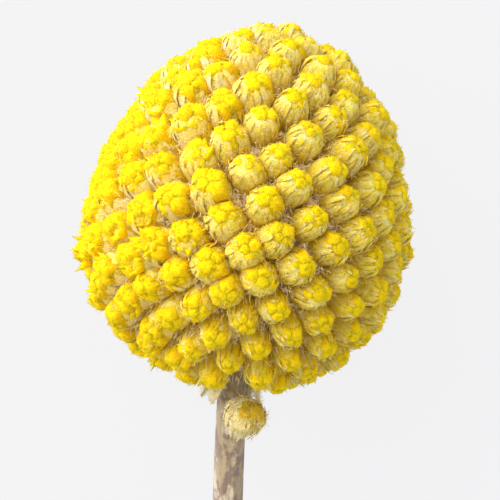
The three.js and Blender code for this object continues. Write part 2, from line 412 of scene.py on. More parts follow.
class Stem:
    """The stem's centre line, a curve from the cut end to the head's foot, and its surface."""

    def __init__(self, head):
        self.sizes = head.sizes
        top = head.stem_top()
        controls = (head.cut, STEM_BEND, top - head.axis * STEM_STRAIGHT, top)
        self.controls = np.array([list(point) for point in controls])
        self.steps = np.linspace(0, 1, 2001)
        line = self.curve(self.steps)
        lengths = np.linalg.norm(np.diff(line, axis=0), axis=1)
        self.distances = np.concatenate(([0], np.cumsum(lengths)))
        self.length = self.distances[-1]

    def curve(self, t):
        t = np.asarray(t)[:, None]
        a, b, c, d = self.controls
        return (1 - t) ** 3 * a + 3 * (1 - t) ** 2 * t * b + 3 * (1 - t) * t**2 * c + t**3 * d

    def frames(self, distance):
        """Centre, and the directions along, to the side and up, at each distance from the cut."""
        t = np.interp(distance, self.distances, self.steps)
        step = 1e-4
        ahead, behind = np.clip(t + step, 0, 1), np.clip(t - step, 0, 1)
        along = unit(self.curve(ahead) - self.curve(behind))
        side = unit(np.cross(along, (0, 0, 1)))
        return self.curve(t), along, side, np.cross(side, along)

    def radius(self, distance, angle):
        cut, top = self.sizes.stem_cut_radius, self.sizes.stem_top_radius
        taper = cut + (top - cut) * (distance / self.length)
        flare = smoothstep(distance, self.length - STEM_FLARE, self.length) ** 2
        rib = RIB_HEIGHT * np.cos(STEM_RIBS * angle)
        widened = (FOOT_RADIUS - top) * flare
        return taper + rib + widened + self.scar(distance, angle) * SCAR_HEIGHT

    def scar(self, distance, angle):
        """How much of a leaf scar there is, from 0 to 1."""
        index = np.round(distance / SCAR_EVERY)
        away = np.abs(distance - index * SCAR_EVERY) / SCAR_REACH
        facing = np.cos(angle - index * GOLDEN_ANGLE)
        there = (index > 0) & (away < 1) & (facing > 0)
        return np.where(there, (1 - away) * facing**2, 0)


def low_buttons(head, colours):
    """The single button on the stem just below the head."""
    sizes, stem = head.sizes, Stem(head)
    distance = stem.length - (LOW_BELOW_HEAD + head.foot_height())
    centre, along, side, up = (row[0] for row in stem.frames(np.array([distance])))
    outward = up * math.cos(LOW_AZIMUTH) + side * math.sin(LOW_AZIMUTH)
    direction = unit(along * math.cos(LOW_LIFT) + outward * math.sin(LOW_LIFT))
    root = centre + outward * (sizes.stem_top_radius + RIB_HEIGHT + SEAT_GAP)
    return Buttons(
        prefix="low",
        colours=colours,
        tips=(root + direction * LOW_LENGTH)[None, :],
        frames=frames_of(direction[None, :], up),
        radius=np.array([sizes.low_button_radius]),
        ripe=np.array([0.0]),
        fair=np.array([0.0]),
        oval=np.array([OVAL]),
        oval_turn=np.array([0.0]),
        depth=np.array([LOW_SLENDERNESS]),
        favoured=np.array([LOW_FAVOURED]),
    )


# ---- Small shapes, drawn once and repeated by Geometry Nodes ----


def add_values(mesh, values):
    """One float attribute of the mesh's points for each of the values."""
    for key, numbers in values.items():
        data = mesh.attributes.new(key, "FLOAT", "POINT").data
        data.foreach_set("value", np.asarray(numbers, dtype=np.float32))


def mesh_object(name, vertices, faces, **values):
    """A smooth mesh object with one float attribute for each of the values."""
    mesh = bpy.data.meshes.new(name)
    mesh.from_pydata([tuple(v) for v in vertices], [], [tuple(int(i) for i in f) for f in faces])
    mesh.shade_smooth()
    add_values(mesh, values)
    return bpy.data.objects.new(name, mesh)


def grid_faces(rows, columns, closed=False):
    """Quads over a grid of points, row by row; a closed grid joins its last column to its first."""
    pairs = neighbours(columns) if closed else neighbours(columns)[:-1]
    return [
        (i * columns + j, i * columns + k, (i + 1) * columns + k, (i + 1) * columns + j)
        for i in range(rows - 1)
        for j, k in pairs
    ]


def cap_faces(first_end, first_ring, last_ring, sides):
    """Fans from two end points, one after the other in the mesh, to the rings beside them."""
    faces = []
    for j, k in neighbours(sides):
        faces.append((first_end, first_ring + k, first_ring + j))
        faces.append((first_end + 1, last_ring + j, last_ring + k))
    return faces


def closed_faces(rings, sides):
    """Faces of a closed form, whose two end points come after its rings."""
    ends, last_ring = rings * sides, (rings - 1) * sides
    return grid_faces(rings, sides, closed=True) + cap_faces(ends, 0, last_ring, sides)


def shell(grid, thickness):
    """Points and faces of a thin closed blade on a grid that runs from root to tip."""
    rows, columns, _ = grid.shape
    along, across = np.gradient(grid, axis=0), np.gradient(grid, axis=1)
    normal = unit(np.cross(across, along))
    points = np.concatenate((grid, grid - normal * thickness)).reshape(-1, 3)
    count = rows * columns
    faces = grid_faces(rows, columns)
    faces += [tuple(count + i for i in reversed(face)) for face in faces]
    place = np.arange(count).reshape(rows, columns)
    sides = (place[0, :-1], place[:-1, -1], place[-1, :0:-1], place[:0:-1, 0])
    rim = np.concatenate(sides).tolist()
    faces += [(b, a, count + a, count + b) for a, b in zip(rim, rim[1:] + rim[:1])]
    return points, faces


def tube(name, rings, root, tip, along, across, **ring_values):
    """A closed form through rings of points, which run anticlockwise seen from the tip."""
    rows, sides, _ = rings.shape
    vertices = np.vstack((rings.reshape(-1, 3), root, tip))
    values = {
        key: np.append(np.tile(ring, rows), (np.mean(ring), np.mean(ring)))
        for key, ring in {"across": across, **ring_values}.items()
    }
    values["along"] = np.append(np.repeat(along[1:-1], sides), (along[0], along[-1]))
    return mesh_object(name, vertices * MM, closed_faces(rows, sides), **values)


def round_rings(levels, angles):
    """Rings round the z axis. Each level is a radius and a height, one for all or one a point."""
    return np.array(
        [np.column_stack((r * np.cos(angles), r * np.sin(angles), z + 0 * angles)) for r, z in levels]
    )


def several(make, count, seed, **sizes):
    """Shapes of one kind, each drawn a little differently. Their sizes are in millimetres."""
    rng = np.random.default_rng(seed)
    return [make(f"shape_{number:02d}", rng, **sizes) for number in range(count)]


def make_blade(name, rng, profile, width, ragged, keel=0.5):
    """A narrow keeled blade. The profile holds (distance from the button's axis, height)."""
    along = np.linspace(0, 1, len(profile))
    reach, height = np.array(profile).T
    reach = reach + rng.uniform(-0.04, 0.04, len(reach))
    height = height + rng.uniform(-1, 1) * ragged * along**3
    side = np.cumsum(rng.uniform(-0.05, 0.05, len(reach))) * width / 0.4
    half = width / 2 * np.sin(math.pi * (0.2 + 0.62 * along)) ** 0.6
    half = half * rng.uniform(0.8, 1.2, len(half))
    lines = ((reach + keel * half, side), (reach, side + half), (reach, side - half))
    rings = np.stack([np.stack((x, y, height), axis=1) for x, y in lines], axis=1)[1:-1]
    root, tip = (reach[0], side[0], height[0]), (reach[-1], side[-1], height[-1])
    blade = tube(name, rings, root, tip, along, (0, 1, -1))
    for edge in blade.data.edges:
        corners = {i % 3 for i in edge.vertices if i < 3 * len(rings)}
        edge.use_edge_sharp = corners in ({1}, {2})  # along both sides, but not along the keel
    return blade


def make_bud(name, rng):
    """A closed floret: five ridges that meet in a soft dimpled tip."""
    angles = angles_round(10)
    ridges = np.cos(5 * angles)
    radius, narrowing, tip = rng.uniform(0.5, 0.62), rng.uniform(0.62, 0.8), rng.uniform(-0.08, 0.03)
    full = 1 + rng.uniform(0.07, 0.15) * ridges
    profile = ((0.5, -2.2), (0.86, -1.2), (1, -0.5), (narrowing, -0.13), (0.36, 0.02))
    rings = round_rings([(share * radius * full, z) for share, z in profile], angles)
    return tube(name, rings, (0, 0, -2.3), (0, 0, tip), np.linspace(0, 1, 7), ridges)


def make_star(name, rng):
    """An open floret: a narrow tube that widens into five small lobes round a hollow."""
    angles = angles_round(10)
    lobed = (np.arange(10) % 2 == 0).astype(float)
    reach, lift = rng.uniform(0.46, 0.66, 10), rng.uniform(0, 0.35, 10)
    levels = (
        (0.26, -2.2),
        (0.34, -0.8),
        (0.46 + 0.06 * lobed, -0.3),
        (0.42 + (reach - 0.42) * lobed, -0.22 + (0.22 + lift) * lobed),
        (0.26 + 0.12 * lobed, -0.14 + 0.1 * lobed),
        (0.12, -0.3),
    )
    along = (0, 0.1, 0.5, 0.75, 1.0, 0.9, 0.7, 0.6)
    return tube(name, round_rings(levels, angles), (0, 0, -2.3), (0, 0, -0.2), along, lobed)


def make_body(name, rng):
    """The solid middle of a button, under its bracts and between its florets. Its x axis points
    to the side where florets swell most."""
    angles = angles_round(18)
    top = (rng.uniform(0.78, 0.9), rng.uniform(-0.24, -0.14))
    profile = ((0.5, -5.3), (1.1, -3.8), (1.42, -2.4), (1.4, -1.45), (1.23, -0.66), top)
    full = rng.uniform(0.97, 1.03, 18)
    rings = round_rings([(radius * full, z) for radius, z in profile], angles)
    tip = (0, 0, rng.uniform(-0.08, 0.04))
    stripes = rng.uniform(-1, 1, 18)
    golden = np.clip(0.4 + 0.6 * np.cos(angles), 0, 1)
    return tube(name, rings, (0, 0, -5.4), tip, np.linspace(0, 1, 8), stripes, golden=golden)


def make_hair(name, rng, long, thickness, bend):
    """A curved hair with three sides that ends in a point."""
    angles = angles_round(3)
    along = np.array((0, 0.05, 0.6, 1))
    curl = rng.uniform(-1, 1, 2) * bend * long
    line = np.stack((curl[0] * along**2, curl[1] * along**2, along * long), axis=1)
    radius = thickness / 2 * (1 - 0.6 * along[1:-1, None])
    rings = np.repeat(line[1:-1, None, :], 3, axis=1)
    rings[:, :, 0] += radius * np.cos(angles)
    rings[:, :, 1] += radius * np.sin(angles)
    return tube(name, rings, line[0], line[-1], along, angles * 0)


def make_lobe(name, rng, width, height):
    """A small pointed lobe, or stiff down where it is narrow."""
    wide, tall = width * rng.uniform(0.7, 1.3), height * rng.uniform(0.6, 1.4)
    x, y = rng.uniform(-0.08, 0.08, 2)
    low = -0.03
    feet = ((wide, 0, low), (-0.5 * wide, 0.8 * wide, low), (-0.5 * wide, -0.8 * wide, low))
    vertices = np.array((*feet, (x, y, tall))) * MM
    faces = ((0, 1, 3), (1, 2, 3), (2, 0, 3), (2, 1, 0))
    lobe = mesh_object(name, vertices, faces, along=(0.85, 0.85, 0.85, 1.0), across=(1, 1, 1, 1))
    for edge in lobe.data.edges:
        edge.use_edge_sharp = 3 not in edge.vertices
    return lobe


# ---- Nodes ----


class Nodes:
    """A tree of nodes, built node by node."""

    def __init__(self, tree):
        self.tree = tree

    def join(self, value, socket):
        """Links an output to an input, or sets the input to a plain value."""
        if isinstance(value, bpy.types.NodeSocket):
            self.tree.links.new(value, socket)
        elif socket.type == "RGBA":
            socket.default_value = (*value, 1.0)
        else:
            socket.default_value = value

    def set(self, node, **inputs):
        """Joins values to a node's inputs, whose names have _ for a space."""
        for key, value in inputs.items():
            name = key.replace("_", " ")
            self.join(value, next(s for s in node.inputs if s.enabled and s.name == name))

    def node(self, kind, settings=None, **inputs):
        node = self.tree.nodes.new(kind)
        for key, value in (settings or {}).items():
            setattr(node, key, value)
        self.set(node, **inputs)
        return node

    def result(self, kind, settings=None, **inputs):
        """The first output in use of a new node."""
        return next(s for s in self.node(kind, settings, **inputs).outputs if s.enabled)

    def math(self, operation, *values, kind="ShaderNodeMath"):
        node = self.node(kind, {"operation": operation})
        for value, socket in zip(values, (s for s in node.inputs if s.enabled)):
            self.join(value, socket)
        return next(s for s in node.outputs if s.enabled)

    def vector_math(self, operation, *values):
        return self.math(operation, *values, kind="ShaderNodeVectorMath")

    def combine(self, x, y, z):
        return self.result("ShaderNodeCombineXYZ", X=x, Y=y, Z=z)


# ---- Geometry Nodes ----

INPUTS = {
    "Geometry": "Geometry",
    "Shapes": "Collection",
    "Unevenness": "Float",
    "Seed": "Int",
    "Ripple": "Float",
    "Ripple scale": "Float",
    "Floor": "Float",
    "Material": "Material",
}
GROWTH_INPUTS = {"Density": "Float", "Lean": "Float", "Only tips": "Float"}
TIP_FROM = 0.6  # the share of a floret's length above which its lobes stand


class Tree(Nodes):
    """A Geometry Nodes tree with named inputs."""

    def __init__(self, name, **more_inputs):
        super().__init__(bpy.data.node_groups.new(name, "GeometryNodeTree"))
        self.tree.is_modifier = True
        self.add_socket("Geometry", "OUTPUT", "Geometry")
        for key, kind in {**INPUTS, **more_inputs}.items():
            self.add_socket(key, "INPUT", kind)
        self.inputs = self.tree.nodes.new("NodeGroupInput").outputs
        self.output = self.tree.nodes.new("NodeGroupOutput")

    def add_socket(self, name, in_out, kind):
        socket_type = f"NodeSocket{kind}"
        self.tree.interface.new_socket(name=name, in_out=in_out, socket_type=socket_type)

    def read(self, name, data_type):
        return self.result("GeometryNodeInputNamedAttribute", {"data_type": data_type}, Name=name)

    def chance(self, data_type, low, high):
        """A random value for each point."""
        settings = {"data_type": data_type}
        seed = self.inputs["Seed"]
        return self.result("FunctionNodeRandomValue", settings, Min=low, Max=high, Seed=seed)

    def size(self):
        """Near 1, a little different for each point."""
        unevenness = self.inputs["Unevenness"]
        low, high = self.math("SUBTRACT", 1.0, unevenness), self.math("ADD", 1.0, unevenness)
        return self.chance("FLOAT", low, high)

    def finish(self, points, rotation, scale):
        """Stands shapes on the points, grows them together, ripples them, settles them on the
        floor and paints them."""
        shapes = self.node("GeometryNodeCollectionInfo", Collection=self.inputs["Shapes"])
        self.set(shapes, Separate_Children=True, Reset_Children=True)
        stand = self.result(
            "GeometryNodeInstanceOnPoints",
            Points=points,
            Instance=shapes.outputs[0],
            Pick_Instance=True,
            Rotation=rotation,
            Scale=scale,
        )
        real = self.result("GeometryNodeRealizeInstances", Geometry=stand)
        ripple_scale = self.inputs["Ripple scale"]
        noise = self.node("ShaderNodeTexNoise", Scale=ripple_scale, Detail=2.0, Roughness=0.6)
        centred = self.vector_math("SUBTRACT", noise.outputs["Color"], (0.5, 0.5, 0.5))
        offset = self.vector_math("SCALE", centred, self.inputs["Ripple"])
        rippled = self.result("GeometryNodeSetPosition", Geometry=real, Offset=offset)
        place = self.result("GeometryNodeInputPosition")
        x, y, z = self.node("ShaderNodeSeparateXYZ", Vector=place).outputs
        above = self.combine(x, y, self.math("MAXIMUM", z, self.inputs["Floor"]))
        settled = self.result("GeometryNodeSetPosition", Geometry=rippled, Position=above)
        material = self.inputs["Material"]
        painted = self.result("GeometryNodeSetMaterial", Geometry=settled, Material=material)
        self.set(self.output, Geometry=painted)
        return self.tree


def stand_tree():
    """Stands a shape on every point, turned and sized as the point says."""
    tree = Tree("Stand shapes on points")
    size = tree.vector_math("SCALE", tree.read("size", "FLOAT_VECTOR"), tree.size())
    return tree.finish(tree.inputs["Geometry"], tree.read("turn", "QUATERNION"), size)


def grow_tree():
    """Grows shapes out of a surface, leaning every way."""
    tree = Tree("Grow shapes from a surface", **GROWTH_INPUTS)
    anywhere = tree.math("SUBTRACT", 1.0, tree.inputs["Only tips"])
    at_tip = tree.math("GREATER_THAN", tree.read("along", "FLOAT"), TIP_FROM)
    density = tree.math("MULTIPLY", tree.inputs["Density"], tree.math("MAXIMUM", anywhere, at_tip))
    scatter = tree.node(
        "GeometryNodeDistributePointsOnFaces",
        Mesh=tree.inputs["Geometry"],
        Density=density,
        Seed=tree.inputs["Seed"],
    )
    lean = tree.inputs["Lean"]
    back = tree.math("MULTIPLY", lean, -1.0)
    low, high = tree.combine(back, back, -math.pi), tree.combine(lean, lean, math.pi)
    tilt = tree.result("FunctionNodeEulerToRotation", Euler=tree.chance("FLOAT_VECTOR", low, high))
    turned = tree.result(
        "FunctionNodeRotateRotation",
        {"rotation_space": "LOCAL"},
        Rotation=scatter.outputs["Rotation"],
        Rotate_By=tilt,
    )
    return tree.finish(scatter.outputs["Points"], turned, tree.size())


def make_piece(name, source, shapes, tree, material, seed, **inputs):
    """Runs a tree on a source object and keeps the result as a plain mesh object."""
    scene = bpy.context.scene
    collection = bpy.data.collections.new("Shapes to repeat")
    scene.collection.children.link(collection)
    for shape in shapes:
        collection.objects.link(shape)
    if not source.users_collection:
        scene.collection.objects.link(source)
    modifier = source.modifiers.new("Repeat", "NODES")
    modifier.node_group = tree
    settings = {
        "Shapes": collection,
        "Unevenness": 0.0,
        "Seed": seed,
        "Ripple": 0.0,
        "Ripple scale": 900.0,
        "Floor": FLOOR_CLEARANCE,
        "Material": material,
    }
    settings.update({key.replace("_", " "): value for key, value in inputs.items()})
    sockets = {item.name: item.identifier for item in tree.interface.items_tree if item.in_out == "INPUT"}
    for key, value in settings.items():
        modifier[sockets[key]] = value
    graph = bpy.context.evaluated_depsgraph_get()
    mesh = bpy.data.meshes.new_from_object(
        source.evaluated_get(graph), preserve_all_data_layers=True, depsgraph=graph
    )
    source.modifiers.remove(modifier)
    mesh.name = name
    piece = bpy.data.objects.new(name, mesh)
    scene.collection.objects.link(piece)
    for shape in shapes:
        bpy.data.meshes.remove(shape.data)
    bpy.data.collections.remove(collection)
    return piece


def stand_on_points(name, points, turns, sizes, shapes, material, seed, inputs, **values):
    """Stands shapes on points, which carry the values that the tree and the materials read."""
    mesh = bpy.data.meshes.new("Points")
    mesh.vertices.add(len(points))
    mesh.vertices.foreach_set("co", np.asarray(points, dtype=np.float32).ravel())
    quaternions = np.array([list(Matrix(turn).to_quaternion()) for turn in turns], dtype=np.float32)
    turn = mesh.attributes.new("turn", "QUATERNION", "POINT")
    turn.data.foreach_set("value", quaternions.ravel())
    size = mesh.attributes.new("size", "FLOAT_VECTOR", "POINT")
    size.data.foreach_set("vector", np.asarray(sizes, dtype=np.float32).ravel())
    add_values(mesh, values)
    source = bpy.data.objects.new("Points", mesh)
    piece = make_piece(name, source, shapes, stand_tree(), material, seed, **inputs)
    bpy.data.meshes.remove(mesh)
    return piece


def grow_on(name, surface, shapes, material, seed, density, lean, unevenness, only_tips=0.0):
    """Grows shapes on a surface, so many a square metre."""
    return make_piece(
        name,
        surface,
        shapes,
        grow_tree(),
        material,
        seed,
        Density=density,
        Lean=lean,
        Unevenness=unevenness,
        Only_tips=only_tips,
    )


def stand_round(
    kind,
    buttons,
    owner,
    azimuth,
    shapes,
    material,
    seed,
    inputs=None,
    reach=0,
    height=0,
    tilt=0,
    growth=1,
    **values,
):
    """Stands shapes round the axes of their buttons: turned by azimuth, moved out by reach and
    lifted by height, both in millimetres, and tilted away from the axis."""
    reach, height, tilt, growth = (v + np.zeros(len(owner)) for v in (reach, height, tilt, growth))
    reach, height = reach * MM, height * MM
    ripe = buttons.ripe[owner]
    scale = buttons.radius[owner] / NOMINAL_RADIUS * (FULLNESS + RIPE_FULLNESS * ripe)
    stretch = 1 + buttons.oval[owner] * np.cos(2 * (azimuth - buttons.oval_turn[owner]))
    cos_a, sin_a = np.cos(azimuth), np.sin(azimuth)
    reach = reach * stretch
    local = np.stack((reach * cos_a, reach * sin_a, height), axis=1) * scale[:, None]
    frames = buttons.frames[owner]
    points = buttons.tips[owner] + np.einsum("nij,nj->ni", frames, local)
    cos_t, sin_t = np.cos(tilt), np.sin(tilt)
    turns = np.empty((len(owner), 3, 3))
    turns[:, :, 0] = np.stack((cos_a * cos_t, sin_a * cos_t, -sin_t), axis=1)
    turns[:, :, 1] = np.stack((-sin_a, cos_a, 0 * cos_a), axis=1)
    turns[:, :, 2] = np.stack((cos_a * sin_t, sin_a * sin_t, cos_t), axis=1)
    turns = np.einsum("nij,njk->nik", frames, turns)
    wide = scale * growth
    sizes = np.stack((wide * stretch, wide * (2 - stretch), wide * buttons.depth[owner]), axis=1)
    name = f"{buttons.prefix}_{kind}"
    values.update(ripe=ripe, fair=buttons.fair[owner])
    return stand_on_points(name, points, turns, sizes, shapes, material, seed, inputs or {}, **values)


# ---- Finishes ----


class Finish(Nodes):
    """A procedural material, built up on Object coordinates and attributes."""

    def __init__(self, name, roughness=0.8, sheen=0.0, glow_through=0.0, glow_reach=0.5):
        self.material = bpy.data.materials.new(name)
        self.material.use_nodes = True
        super().__init__(self.material.node_tree)
        self.shader = self.tree.nodes["Principled BSDF"]
        self.set(
            self.shader,
            Roughness=roughness,
            Sheen_Weight=sheen,
            Sheen_Roughness=0.6,
            Specular_IOR_Level=0.06,
            Subsurface_Weight=glow_through,
            Subsurface_Radius=(1.0, 0.75, 0.25),
            Subsurface_Scale=glow_reach * MM,
        )
        self.place = self.node("ShaderNodeTexCoord").outputs["Object"]

    def read(self, name):
        return self.node("ShaderNodeAttribute", {"attribute_name": name}).outputs["Fac"]

    def noise(self, scale, detail=3.0, roughness=0.6, stretch=None):
        place = self.place
        if stretch:
            place = self.result("ShaderNodeMapping", Vector=place, Scale=stretch)
        settings = {"Scale": scale, "Detail": detail, "Roughness": roughness}
        return self.node("ShaderNodeTexNoise", Vector=place, **settings).outputs["Fac"]

    def streaks(self):
        """Fine lines that run the length of a blade, different on each."""
        counts = {"across": 2.0, "along": 0.8, "tone": 50.0}
        place = self.combine(*(self.math("MULTIPLY", self.read(key), n) for key, n in counts.items()))
        return self.node("ShaderNodeTexNoise", Vector=place, Scale=1.0, Detail=2.0).outputs["Fac"]

    def fade(self, value, low, high, out_low=0.0, out_high=1.0):
        """Maps low..high to out_low..out_high with soft ends."""
        return self.result(
            "ShaderNodeMapRange",
            {"interpolation_type": "SMOOTHSTEP"},
            Value=value,
            From_Min=low,
            From_Max=high,
            To_Min=out_low,
            To_Max=out_high,
        )

    def mix(self, share, first, second):
        return self.result("ShaderNodeMix", {"data_type": "RGBA"}, Factor=share, A=first, B=second)

    def cover(self, body, colour, value, low, high, out_low=0.0, out_high=1.0):
        """Lays a colour over the body, by as much as the value fades to."""
        return self.mix(self.fade(value, low, high, out_low, out_high), body, colour)

    def cover_by(self, body, colour, value, most):
        """Lays a colour over the body where a value from 0 to 1 says so."""
        return self.mix(self.math("MULTIPLY", value, most), body, colour)

    def bump(self, first, second, strength, distance):
        """Roughens the surface by the sum of two heights."""
        height = self.math("ADD", first, second)
        normal = self.result("ShaderNodeBump", Strength=strength, Distance=distance * MM, Height=height)
        self.set(self.shader, Normal=normal)

    def paint(self, value):
        self.set(self.shader, Base_Color=value)
        return self.material


def floret_finish(name, colours, low):
    """Yellow at the tip and gold, a deeper yellow that also stands as painted shade, down the sides, with
    the low colour painted as shade at the base and in the grooves, and papery cream where a scale wraps
    the floret.
    """
    finish = Finish(name, glow_through=0.5, glow_reach=0.6)
    yellow, gold, papery = colours.yellow, colours.gold, colours.papery
    along = finish.read("along")
    mottle, grain = finish.noise(2600), finish.noise(6500, detail=2)
    # Painted shade: the low colour at the floret's base and gold up its sides darken it towards the base,
    # where shade falls between the florets.
    side = finish.cover(low, gold, along, 0.25, 0.62)
    fresh = finish.cover(yellow, gold, finish.read("tone"), 0.55, 1.0, 0.0, 0.5)
    fresh = finish.cover(fresh, gold, mottle, 0.35, 0.75, 0.0, 0.3)
    body = finish.cover(side, fresh, along, 0.5, 0.86)
    # Painted shade: the low colour in the grooves between the ridges.
    body = finish.cover(body, low, finish.read("across"), -1.0, -0.2, 0.12, 0.0)
    wrapped = finish.math("ADD", finish.read("pale"), finish.math("SUBTRACT", mottle, 0.5))
    body = finish.cover(body, papery, wrapped, 0.35, 0.72)
    body = finish.cover(body, papery, grain, 0.6, 0.66, 0.0, 0.35)
    body = finish.cover(body, low, grain, 0.34, 0.42, 0.12, 0.0)
    finish.bump(grain, mottle, 0.75, 0.2)
    return finish.paint(body)


def bract_finish(name, colours, low, through, share_through):
    """Papery at the tip and khaki with fine lines lower down, with the low colour painted as shade at
    the base and along both edges, paler as painted light on the lit side, and with the colour of
    what it covers showing through in places."""
    finish = Finish(name, glow_through=0.4, glow_reach=0.35)
    papery, khaki, fringe = colours.papery, colours.khaki, colours.fringe
    along, lines = finish.read("along"), finish.streaks()
    mottle, fine = finish.noise(1300), finish.noise(5200, detail=2)
    # Painted shade: the low colour at the base of the bract.
    body = finish.cover(low, khaki, along, 0.2, 0.55)
    body = finish.cover(body, papery, finish.math("ADD", along, mottle), 1.05, 1.55)
    body = finish.cover(body, khaki, lines, 0.5, 0.62, 0.0, 0.6)
    body = finish.cover(body, fringe, lines, 0.34, 0.46, 0.5, 0.0)
    body = finish.cover(body, khaki, finish.read("tone"), 0.45, 0.9, 0.0, 0.6)
    body = finish.cover(body, fringe, along, 0.78, 1.0, 0.0, 0.85)
    # Painted shade: the low colour along both edges, where the blades overlap.
    edge = finish.math("ABSOLUTE", finish.read("across"))
    body = finish.cover(body, low, edge, 0.45, 1.0, 0.0, 0.14)
    # Painted light: on the lit side the bract is painted pale, fringe low down and papery towards the
    # tip.
    faint = finish.cover(fringe, papery, along, 0.5, 0.85)
    body = finish.cover_by(body, faint, finish.read("fair"), 0.85)
    body = finish.cover(body, fringe, fine, 0.56, 0.63, 0.0, 0.8)
    shine = finish.cover(colours.gold, colours.yellow, lines, 0.36, 0.56)
    share = finish.math("MULTIPLY", finish.read("golden"), finish.fade(along, 0.1, 0.5))
    body = finish.cover_by(body, shine, share, 0.9)
    showing = finish.math("ADD", mottle, finish.math("MULTIPLY", fine, 0.5))
    body = finish.cover(body, through, showing, 0.68, 0.84, 0.0, share_through)
    finish.bump(lines, fine, 0.7, 0.16)
    return finish.paint(body)


def dome_finish(name, colours, one_sided):
    """The body of a button: striped sides with olive painted as shade low down and fringe painted
    as light on the lit side, and a pale top where florets show through as yellow, more so on the
    side where they swell."""
    finish = Finish(name, glow_through=0.5, glow_reach=0.6)
    papery, khaki, fringe = colours.papery, colours.khaki, colours.fringe
    yellow, gold, olive_shade = colours.yellow, colours.gold, colours.olive_shade
    along, across, swollen = (finish.read(key) for key in ("along", "across", "golden"))
    blotch, fine, grain = finish.noise(900), finish.noise(4200), finish.noise(7500, detail=2)
    golden = finish.math("MAXIMUM", swollen, finish.read("ripe"))
    mottled = finish.math("ADD", blotch, finish.math("MULTIPLY", fine, 0.3))
    mottled = finish.math("ADD", mottled, finish.math("MULTIPLY", golden, one_sided))
    start = 0.53 + 0.5 * one_sided
    top = finish.cover(papery, fringe, fine, 0.45, 0.62, 0.0, 0.8)
    top = finish.cover(top, yellow, mottled, start, start + 0.2)
    top = finish.cover(top, gold, fine, 0.52, 0.66, 0.0, 0.3)
    # Painted shade: olive low on the body, deep between the buttons.
    low = finish.cover(olive_shade, khaki, along, 0.1, 0.42)
    low = finish.cover(low, papery, across, 0.1, 0.7, 0.0, 0.5)
    low = finish.cover(low, gold, across, -0.7, -0.3, 0.4, 0.0)
    # Painted light: the lower parts are painted pale fringe on the lit side, which lifts their shade.
    low = finish.cover_by(low, fringe, finish.read("fair"), 0.9)
    low = finish.cover_by(low, yellow, swollen, 0.5)
    low = finish.cover(low, olive_shade, grain, 0.34, 0.42, 0.2, 0.0)
    body = finish.cover(low, top, along, 0.6, 0.82)
    body = finish.cover(body, fringe, grain, 0.57, 0.64, 0.0, 0.7)
    finish.bump(grain, fine, 0.85, 0.24)
    return finish.paint(body)


def hair_finish(name, root, tip, fair):
    """Hairs that change colour to their tips, painted in a paler colour of their own as painted light on
    the lit side.
    """
    finish = Finish(name, roughness=0.7, sheen=0.1, glow_through=0.2, glow_reach=0.3)
    body = finish.cover(root, tip, finish.read("along"), 0.0, 0.7)
    body = finish.cover(body, root, finish.noise(1100), 0.4, 0.7, 0.0, 0.4)
    # Painted light: the paler colour on the lit side.
    return finish.paint(finish.cover_by(body, fair, finish.read("fair"), 0.9))


def down_finish(name, first, second):
    """Short down in patches of two colours."""
    finish = Finish(name, roughness=0.7, sheen=0.1, glow_through=0.2, glow_reach=0.3)
    return finish.paint(finish.cover(first, second, finish.noise(3200, detail=2), 0.5, 0.6))


def receptacle_finish(colours):
    """Plum, with wool on most of it, and painted paler as painted light on the lit side."""
    finish = Finish("Woolly receptacle", roughness=0.95, sheen=0.2)
    tufts = finish.noise(2200, detail=4, roughness=0.75)
    body = finish.cover(colours.plum, colours.down, tufts, 0.42, 0.56)
    # Painted light: paler towards papery on the lit side.
    body = finish.cover_by(body, colours.papery, finish.read("fair"), 0.8)
    finish.bump(tufts, 0, 0.8, 0.3)
    return finish.paint(body)


def stem_finish(colours):
    """Tan skin with long darker streaks, brown scars and patches of matted pale wool."""
    finish = Finish("Stem skin", roughness=0.88, sheen=0.3)
    tan, brown, wool = colours.tan, colours.brown, colours.wool
    long_lines = finish.noise(1, detail=4, roughness=0.65, stretch=(2600, 300, 2600))
    blotch = finish.noise(1, detail=4, roughness=0.55, stretch=(1100, 650, 1100))
    matted = finish.noise(1, detail=4, roughness=0.6, stretch=(900, 480, 900))
    along_y = finish.node("ShaderNodeSeparateXYZ", Vector=finish.place).outputs["Y"]
    # Browner below a given y, towards the cut end.
    brown_share = finish.fade(along_y, BROWNER_BELOW, PLAIN_ABOVE, 0.07, 0.0)
    body = finish.cover(tan, brown, long_lines, 0.4, 0.7, 0.0, 0.5)
    body = finish.cover(body, brown, finish.math("ADD", blotch, brown_share), 0.49, 0.6, 0.0, 0.85)
    body = finish.cover(body, wool, matted, 0.54, 0.66, 0.0, 0.5)
    body = finish.cover(body, brown, finish.read("scar"), 0.1, 0.7, 0.0, 0.8)
    pith = finish.cover(wool, tan, finish.noise(3500), 0.4, 0.6)
    body = finish.mix(finish.read("pith"), body, pith)
    finish.bump(long_lines, matted, 0.7, 0.22)
    return finish.paint(body)


def floor_finish(colours, glow):
    finish = Finish("Pale floor", roughness=0.9)
    finish.set(finish.shader, Emission_Color=(0.985, 0.985, 1.0), Emission_Strength=glow)
    grain = finish.noise(40, detail=2)
    return finish.paint(finish.cover(colours.floor, colours.floor_grain, grain, 0.3, 0.7, 0.0, 0.02))


def woolly_palette(colours, florets):
    """Cream for what is wrapped in wool, with its florets in a colour of their own."""
    cream, fringe = colours.cream, colours.fringe
    return SimpleNamespace(
        yellow=florets, gold=florets, olive_shade=cream, papery=cream, khaki=cream, fringe=fringe
    )


# ---- Pieces on buttons. Reach, height and the sizes of the shapes are in millimetres ----


def add_bodies(buttons, seed, one_sided):
    material = dome_finish(f"{buttons.prefix} body", buttons.colours, one_sided)
    shapes = several(make_body, 4, seed)
    owner, azimuth = buttons.owners(1), buttons.favoured
    ripple = {"Ripple": 0.12 * MM, "Ripple_scale": 1100.0}
    return stand_round("bodies", buttons, owner, azimuth, shapes, material, seed, ripple)


